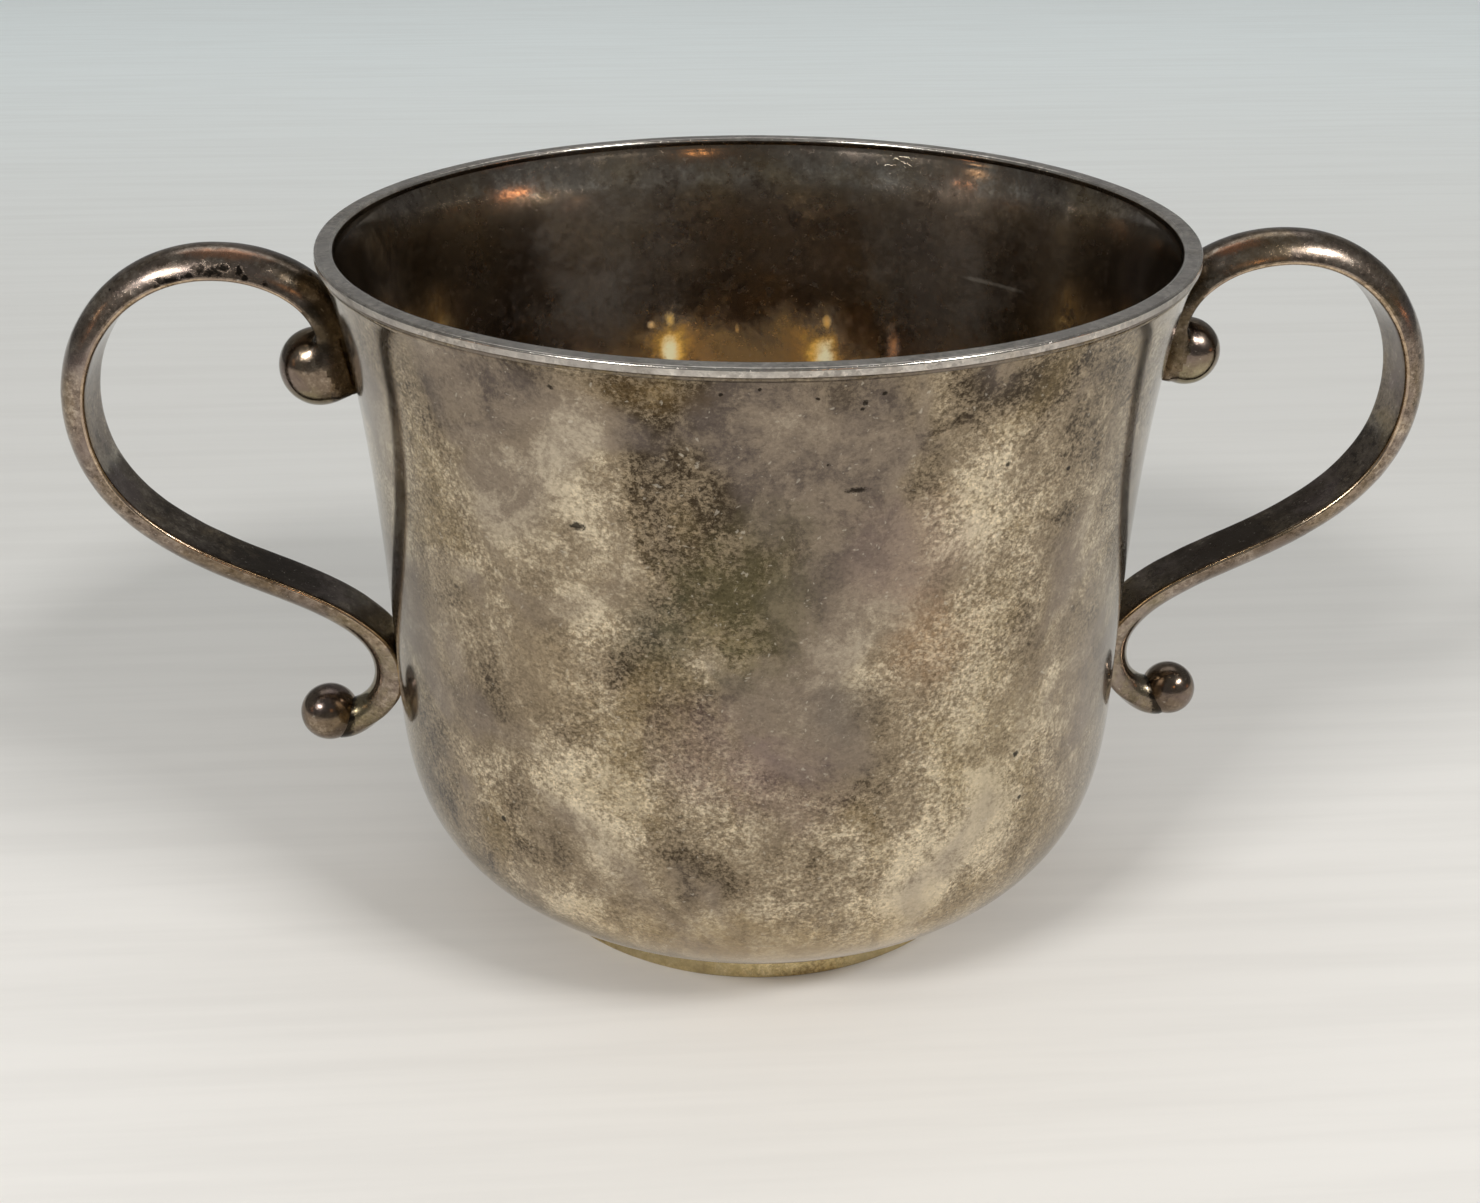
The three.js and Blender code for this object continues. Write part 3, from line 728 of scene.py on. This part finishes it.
def makeRim():
    outer, inner = rimHigh.x, rimHigh.x - rim["width"]
    e, u, n = rim["edge"], rim["underEdge"], rim["innerEdge"]
    outline = (rounded(outer - u, rimLow.z + u, u, -90, 0) + rounded(outer - e, rimHigh.z - e, e, 0, 90)
               + rounded(inner + n, rimHigh.z - n, n, 90, 180)
               + rounded(inner + u / 2, rimLow.z + u / 2, u / 2, 180, 270))
    made = turned("silver_rim", outline, rim["steps"])
    worked(made, handworkTree, rim["marks"])
    finishWith(made, rimSilver, wornRim, insideSilver)
    for face in made.data.polygons:
        away = math.hypot(face.center.x, face.center.y)
        onEdge = away > outer - e and face.center.z > rimHigh.z - e
        onInnerEdge = away < inner + n and face.center.z > rimHigh.z - n
        face.material_index = int(onEdge or onInnerEdge)
        if away < inner + 0.1 and not onInnerEdge:
            face.material_index = 2
    finishPiece(made, ["rim_band"])


def ringPath(name, radius, height, steps=180):
    return meshFrom(name, circle(radius, height, steps), [], [(i, (i + 1) % steps) for i in range(steps)])


makeRim()
seamRadius = bowl["lipRadius"] - rim["seam"] + rim["seamOut"]
seam = worked(ringPath("rim_seam", seamRadius, (rimLow.z + bowl["lipHeight"]) / 2),
              solderTree, {"Radius": rim["seam"], "Unevenness": 0.15, "Seed": 5.0, "Material": darkSeam})
finishPiece(seam)
print("rim band and its seam made")

# Foot ring

foot = {"thickness": 1.7, "draft": 0.9, "hollow": 0.6, "edge": 0.35, "reach": 0.25, "steps": 256,
        "marks": {"Depth": 0.08, "Mark Size": 7.0, "Seed": 4.0}, "seam": 0.3}
footLow, footHigh = (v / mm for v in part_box("foot_ring"))


def undersideAt(radius):
    under = bowlOutside[:bowl["underSteps"] + 1]
    return np.interp(radius, under[:, 0], under[:, 1])


def makeFoot():
    outer, e = footHigh.x, foot["edge"]
    topOuter = outer - foot["draft"]
    topInner = topOuter - foot["thickness"]
    bottomInner = outer - foot["thickness"]
    outline = (rounded(outer - e, e, e, -90, 0)
               + [(outer - foot["draft"] * foot["hollow"], undersideAt(topOuter) / 2),
                  (topOuter, undersideAt(topOuter) + foot["reach"]),
                  (topInner, undersideAt(topInner) + foot["reach"])]
               + rounded(bottomInner + e, e, e, 180, 270))
    made = turned("silver_foot", outline, foot["steps"])
    worked(made, handworkTree, foot["marks"])
    finishPiece(made, ["foot_ring"], footSilver)


makeFoot()
footSeamRadius = footHigh.x - foot["draft"]
seam = worked(ringPath("foot_seam", footSeamRadius, undersideAt(footSeamRadius)),
              solderTree, {"Radius": foot["seam"], "Unevenness": 0.7, "Seed": 9.0, "Material": brightSolder})
finishPiece(seam)
print("foot ring made")

# Handles

handle = {
    "strapWidth": 7.1, "strapThickness": 3.35, "fingerRoom": 30.5, "crownDrop": 1.1, "crownReach": 14.3,
    "widestDrop": 20.4, "runReach": 15.2, "runHeight": 38.9, "runSlope": 25, "upperSeatDrop": 12,
    "lowerSeatHeight": 26.4,
    "seatReach": 1.725,  # wall to the middle of the strap on its seats
    "roundFullness": 2.0, "seatFullness": 2.6,
    "edgeAngle": 21,  # the round side is less than a half circle: it meets the flat this far short of square
    "edgeRound": 0.5,
    "upperTail": 2.7,
    "tailThinning": 0.9,  # the strap is this much thinner at the end of its tail than over the arch
    "tailNarrowing": 0.34,
    "wornFaces": (30, 31, 32, 49, 50, 51),  # faces of the section that lie on its two worn edges
    "flatFaces": range(33, 49),
    "intoWall": 0.42,  # how far the seats run on into the wall, where solder fills the joint
    "hornRoot": 3.3, "hornDiameter": 5.3, "hornSwell": 2.0, "hornSink": 0.85, "hornStop": 1.5, "hornRise": 8,
    "step": 0.34,
    # places along the strap, counted in stretches from the end of its tail
    "tailEnds": 1.1,
    "upperSeatEnds": (0.9, 1.35),
    "lowerSeat": ((4.62, 4.92), (5.1, 5.4)),
    "hornTurnsRound": (5.2, 5.95),
    "wornPart": (1.3, 4.8),
    "blend": 1.5,  # width of the filed joint between the strap and the upper ball
    "notchBlend": 0.35,  # the same above the ball, where the file didn't reach
    "filedReach": 4,
    "marks": {"Depth": 0.1, "Mark Size": 3.5},
    "solder": 0.2,
    "solderSpan": 2.0,  # the thread on the lower seat runs this far up and down from its middle
    "pulls": {"arch": (0.35, 0.44), "loop": (0.39, 0.39), "run": (0.4, 0.37), "turnBack": (0.5, 0.3),
              "horn": (0.48, 0.23)},
}
# The two handles were filed by hand, so their balls differ: radius, and how far the upper one is set in
handleSides = {
    "left": {"upperRadius": 4.4, "upperInset": 0.5, "lowerRadius": 3.5, "seed": 2.0},
    "right": {"upperRadius": 3.85, "upperInset": 0.1, "lowerRadius": 3.3, "seed": 7.0},
}
cupTop = rimHigh.z
upperBallLow, upperBallHigh = (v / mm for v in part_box("right_upper_ball"))
lowerBallLow, lowerBallHigh = (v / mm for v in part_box("right_lower_ball"))
upperBall = (upperBallLow + upperBallHigh) / 2
lowerBall = (lowerBallLow + lowerBallHigh) / 2


def scrollLine():  # the middle line of the strap, evenly stepped, and the stretch that each point is on
    half = handle["strapThickness"] / 2

    def at(reach, height):
        return np.array([reach, height])

    def fromWall(reach, height):
        return at(wallRadiusAt(height) + reach, height)

    up, down, outward = at(0, 1), at(0, -1), at(1, 0)
    slope, rise = math.radians(handle["runSlope"]), math.radians(handle["hornRise"])
    inward, intoBall = at(-math.cos(slope), -math.sin(slope)), at(math.cos(rise), math.sin(rise))
    shoulderHeight = cupTop - handle["upperSeatDrop"]
    tail = at(wallRadiusAt(upperBall.z) + handle["seatReach"], upperBall.z - handle["upperTail"])
    shoulder = fromWall(handle["seatReach"], shoulderHeight)
    crown = at(wallRadiusAt(shoulderHeight) + handle["crownReach"], cupTop - handle["crownDrop"] - half)
    widest = fromWall(handle["fingerRoom"] + half, cupTop - handle["widestDrop"])
    run = fromWall(handle["runReach"], handle["runHeight"])
    seat = fromWall(handle["seatReach"], handle["lowerSeatHeight"])
    hornTip = at(lowerBall.x - handle["hornStop"], lowerBall.z - handle["hornSink"])

    def stretch(start, leaving, end, arriving, pulls):
        span = np.linalg.norm(end - start)
        return bezier(start, start + leaving * span * pulls[0], end - arriving * span * pulls[1], end, 400)

    pulls = handle["pulls"]
    stretches = [
        np.linspace(tail, shoulder, 60),
        stretch(shoulder, up, crown, outward, pulls["arch"]),
        stretch(crown, outward, widest, down, pulls["loop"]),
        stretch(widest, down, run, inward, pulls["run"]),
        stretch(run, inward, seat, down, pulls["turnBack"]),
        stretch(seat, down, hornTip, intoBall, pulls["horn"]),
        np.linspace(hornTip, hornTip + intoBall * handle["hornStop"], 30),
    ]
    line, share = [], []
    for number, points in enumerate(stretches):
        lengths = np.concatenate([[0], np.cumsum(np.linalg.norm(np.diff(points, axis=0), axis=1))])
        count = max(int(round(lengths[-1] / handle["step"])), 4)
        even = np.linspace(0, lengths[-1], count + 1)[(1 if number else 0):]
        line.append(np.column_stack([np.interp(even, lengths, points[:, i]) for i in (0, 1)]))
        share.append(number + even / lengths[-1])
    return np.vstack(line), np.concatenate(share)


def strapSection(fullness, hornShare, hornRadius, narrowing, thinning, roundExtra, flatExtra):
    e = handle["edgeRound"]  # the points are (towards the round side, across)
    width = handle["strapWidth"] / 2 * (1 - narrowing) - e
    thick = handle["strapThickness"] - 2 * e - thinning
    base = e - handle["strapThickness"] / 2 + thinning
    edge = math.radians(handle["edgeAngle"])
    angle = np.linspace(edge, math.pi - edge, 29)
    rise, reach = np.sin(angle) ** (2 / fullness), np.abs(np.cos(angle)) ** (2 / fullness)
    crown = np.column_stack([base + (thick + roundExtra) * (rise - rise[0]) / (1 - rise[0]),
                             width * np.sign(np.cos(angle)) * reach / reach[0]])
    travel = travelOf(crown)
    outwards = np.column_stack([-travel[:, 1], travel[:, 0]])
    tilt = math.atan2(outwards[-1, 0], -outwards[-1, 1])
    crown = crown + outwards * e
    corner = np.linspace(-tilt, math.pi / 2, 8)[1:]
    low = base - flatExtra
    left = [(low - e * math.sin(a), -width - e * math.cos(a)) for a in corner]
    flat = [(low - e, y) for y in np.linspace(-width, width, 13)[1:-1]]
    right = [(x, -y) for x, y in left[::-1]]
    shape = np.vstack([crown, left, flat, right])
    around = np.arctan2(shape[:, 0] - base * 0.4, shape[:, 1] / 1.6)
    full = np.column_stack([np.sin(around), np.cos(around)]) * hornRadius
    return shape + (full - shape) * hornShare


def tailAt(place):  # 1 at the end of the tail, 0 where the full strap begins
    return np.clip(1 - place / handle["tailEnds"], 0, 1) ** 2


def sweepStrap():
    line, share = scrollLine()
    travel = travelOf(line)
    roundSide = np.column_stack([-travel[:, 1], travel[:, 0]])
    rings = []
    for i, (x, z) in enumerate(line):
        alongArch = np.clip(share[i] - 1, 0, 1)
        fullness = lerp(handle["seatFullness"], handle["roundFullness"], alongArch)
        horn = smoothStep(*handle["hornTurnsRound"], share[i])
        swell = np.clip(share[i] - 5, 0, 1) ** handle["hornSwell"]
        inBall = np.clip(share[i] - 6, 0, 1)
        hornRadius = lerp(handle["hornRoot"], handle["hornDiameter"], swell) / 2 * (1 - 0.12 * inBall)
        tailShare = tailAt(share[i])
        upperPress = handle["intoWall"] * (1 - smoothStep(*handle["upperSeatEnds"], share[i]))
        starts, ends = handle["lowerSeat"]
        seated = smoothStep(*starts, share[i]) - smoothStep(*ends, share[i])
        section = strapSection(fullness, horn, hornRadius, handle["tailNarrowing"] * tailShare,
                               handle["tailThinning"] * tailShare, upperPress,
                               handle["intoWall"] * max(seated, 0))
        rings.append([(x + roundSide[i][0] * out, across, z + roundSide[i][1] * out)
                      for out, across in section])
    count = len(rings[0])
    points = [p for ring in rings for p in ring]
    faces, finishes = [], []
    for ring in range(len(rings) - 1):
        for i in range(count):
            a, b = ring * count + i, ring * count + (i + 1) % count
            faces.append((a, b, b + count, a + count))
            finishes.append(0)
            if handle["wornPart"][0] < share[ring] < handle["wornPart"][1]:
                finishes[-1] = 2 * (i in handle["wornFaces"]) + 3 * (i in handle["flatFaces"])
    for ring, flip in ((0, False), (len(rings) - 1, True)):
        loop = [ring * count + i for i in range(count)]
        centre = len(points)
        points.append(tuple(np.mean([points[i] for i in loop], axis=0)))
        for i in range(count):
            face = (centre, loop[(i + 1) % count], loop[i])
            faces.append(face[::-1] if flip else face)
            finishes.append(0)
    return points, faces, finishes


def ballShape(name, centre, radius, steps=72):
    made = turned(name, rounded(0, 0, radius, -90, 90, steps // 2), steps)
    made.data.transform(Matrix.Translation(centre))
    return made


def filedTogether(strap, ball, centre, radius):  # join the strap and the upper ball, the joint filed smooth
    strapTree = BVHTree.FromPolygons([v.co for v in strap.data.vertices],
                                     [p.vertices for p in strap.data.polygons])
    join = strap.modifiers.new("join", "BOOLEAN")
    join.operation = "UNION"
    join.solver = "EXACT"
    join.object = ball
    keepPlain(strap, join)
    bpy.data.objects.remove(ball)
    for vertex in strap.data.vertices:
        if (vertex.co - centre).length > radius + handle["filedReach"]:
            continue
        for turn in range(4):
            p = vertex.co
            near, normal, index, distance = strapTree.find_nearest(p)
            toStrap = math.copysign(distance, (p - near).dot(normal))
            toBall = (p - centre).length - radius
            side = smoothStep(1.2, 3.0, abs(p.y))
            below = smoothStep(0, 2.5, centre.z - p.z)
            blend = lerp(handle["notchBlend"], handle["blend"], max(side, below))
            overlap = max(blend - abs(toStrap - toBall), 0) / blend
            depth = min(toStrap, toBall) - overlap * overlap * blend / 4
            strapShare = 0.5 + (toBall - toStrap) / (2 * blend) if overlap > 0 else float(toStrap < toBall)
            away = (p - near).normalized() * math.copysign(1, toStrap) if distance > 1e-5 else normal
            pull = away * strapShare + (p - centre).normalized() * (1 - strapShare)
            if pull.length < 1e-4 or depth > -1e-4 and overlap == 0:
                break
            vertex.co = p - pull * (depth / max(pull.length_squared, 0.3)) * 0.9
    return strap


def seatPath(side):  # two threads on each seat, where the edges of the strap meet the wall
    tailHeight, shoulderHeight = upperBall.z - handle["upperTail"], cupTop - handle["upperSeatDrop"]
    seat, span = handle["lowerSeatHeight"], handle["solderSpan"]
    points, edges = [], []
    for low, high in ((tailHeight + 0.6, shoulderHeight + 0.6), (seat - span, seat + span)):
        for direction in (-1, 1):
            start = len(points)
            for height in np.linspace(low, high, 16):
                place = (height - tailHeight) / (shoulderHeight - tailHeight)
                narrowed = handle["tailNarrowing"] * tailAt(place) * (low > seat)
                across = direction * (handle["strapWidth"] / 2 * (1 - narrowed) - 0.15)
                points.append((math.sqrt(wallRadiusAt(height) ** 2 - across ** 2) + 0.05, across, height))
            edges += [(i, i + 1) for i in range(start, len(points) - 1)]
    return meshFrom(side + "_seat_solder", points, [], edges)


def makeHandle(side):
    points, faces, finishes = sweepStrap()
    strap = facingOut(meshFrom(side + "_scroll", points, faces))
    finishWith(strap, strapSilver, knobSilver, wornEdge, flatSilver)
    strap.data.polygons.foreach_set("material_index", finishes)
    sizes = handleSides[side]
    centre = upperBall - Vector((sizes["upperInset"], 0, 0))
    ball = ballShape(side + "_ballBlank", centre, sizes["upperRadius"])
    strap = filedTogether(strap, ball, centre, sizes["upperRadius"])
    strap.data.shade_smooth()
    for face in strap.data.polygons:
        if (face.center - centre).length < sizes["upperRadius"] + 0.06:
            face.material_index = 1
    knob = ballShape(side + "_lower_knob", lowerBall, sizes["lowerRadius"])
    for piece in (strap, knob):
        worked(piece, handworkTree, dict(handle["marks"], Seed=sizes["seed"]))
    solder = worked(seatPath(side), solderTree, {"Radius": handle["solder"], "Unevenness": 0.6, "Seed": 7.0,
                                                 "Material": brightSolder})
    if side == "left":
        for piece in (strap, knob, solder):
            piece.data.transform(Matrix.Rotation(math.pi, 4, "Z"))
    finishPiece(strap, [side + "_handle_strap", side + "_upper_ball"])
    finishPiece(knob, [side + "_lower_ball"], knobSilver)
    finishPiece(solder)


for side in ("right", "left"):
    makeHandle(side)
    print(side, "handle swept")

# Floor, backdrop, lamps and the room

stage = {"width": 5000, "front": -2600, "back": 900, "sweep": 700, "height": 2200}


def makeFloor():
    outline = [(stage["front"], 0), (stage["back"], 0)]
    outline += rounded(stage["back"], stage["sweep"], stage["sweep"], -87, 0, 29)
    outline.append((stage["back"] + stage["sweep"], stage["height"]))
    half = stage["width"] / 2
    points = [(x, y, z) for y, z in outline for x in (-half, half)]
    faces = [(2 * i, 2 * i + 1, 2 * i + 3, 2 * i + 2) for i in range(len(outline) - 1)]
    floor = meshFrom("floor", points, faces)
    floor.data.transform(Matrix.Scale(mm, 4))
    material, tree, shader, coords = startMaterial("paleFloor")
    y = node(tree, "ShaderNodeSeparateXYZ", {0: coords}).outputs[1]
    # painted light on the floor: palest in front of the cup, darker behind it, then paler and bluer towards
    # the backdrop
    colour = blendColour(ramp(y, -0.06, 0.12), srgb(246, 242, 236), srgb(219, 217, 212))
    colour = blendColour(ramp(y, 0.1, 0.7), colour, srgb(236, 242, 241))
    stretched = node(tree, "ShaderNodeMapping", {"Vector": coords, "Scale": (1.2, 22, 1)})
    streak = ramp(noise(stretched.outputs[0], 9.0, 4, 0.6)[0], 0.35, 0.7, 0.0, 0.1)
    colour = blendColour(streak, colour, srgb(176, 172, 166))
    # painted shade seen only in reflections and bounced light: from about 0.75 m back, the floor and
    # backdrop turn grey to every ray but the camera's
    seen = node(tree, "ShaderNodeLightPath").outputs["Is Camera Ray"]
    colour = blendColour(times(ramp(y, 0.75, 1.2), minus(1.0, seen)), colour, srgb(150, 150, 150))
    tree.links.new(colour, shader.inputs["Base Color"])
    shader.inputs["Roughness"].default_value = 0.6
    finishWith(floor, material)


# each lamp: which way it stands from the cup (0 back, 90 right, 180 front), how high, how far, its width and
# height, how much of the light on the floor comes from it, and its colour
lamps = {
    "leftWindow": (-105, 19, 1600, (120, 160), 0.0015, (1, 0.65, 0.4)),
    "frontLeft": (-134, 40, 2200, (560, 300), 0.25, (1, 1, 1)),
    "frontRight": (128, 43, 2200, (560, 300), 0.29, (1, 1, 1)),
    "warmFront": (165, 29, 1000, (90, 22), 0.004, (1, 0.5, 0.2)),
    "warmRight": (103, 8, 900, (150, 22), 0.0007, (1, 0.4, 0.15)),
    "warmLeft": (-109, 12, 900, (60, 20), 0.0004, (1, 0.45, 0.2)),
    "skylight": (0, 62, 1600, (1700, 600), 0.09, (0.97, 0.98, 1)),
}
room = {"fill": 0.38, "mirrored": 0.17, "seen": 0.6}


def makeLights():
    for name, (turn, lift, away, size, share, colour) in lamps.items():
        data = bpy.data.lights.new(name, "AREA")
        data.shape = "RECTANGLE"
        data.size, data.size_y = (s * mm for s in size)
        turn, lift, away = math.radians(turn), math.radians(lift), away * mm
        data.energy = share * math.pi ** 2 * away ** 2 / math.sin(lift)
        data.color = colour
        toLamp = Vector((math.sin(turn) * math.cos(lift), math.cos(turn) * math.cos(lift), math.sin(lift)))
        made = added(name, data)
        made.location = toLamp * away + Vector((0, 0, 0.03))
        made.rotation_euler = toLamp.to_track_quat("Z", "Y").to_euler()


def makeRoom():
    world = bpy.data.worlds.new("room")
    bpy.context.scene.world = world
    world.use_nodes = True
    tree = world.node_tree
    tree.nodes.clear()
    path = node(tree, "ShaderNodeLightPath").outputs
    strength = ramp(path["Is Glossy Ray"], 0, 1, room["fill"], room["mirrored"])
    strength = blendValue(path["Is Camera Ray"], strength, room["seen"])
    background = node(tree, "ShaderNodeBackground", {"Color": (0.97, 1.0, 1.0, 1), "Strength": strength})
    node(tree, "ShaderNodeOutputWorld", {"Surface": background.outputs[0]})


makeFloor()
makeLights()
makeRoom()
print("stage, lamps and room set")
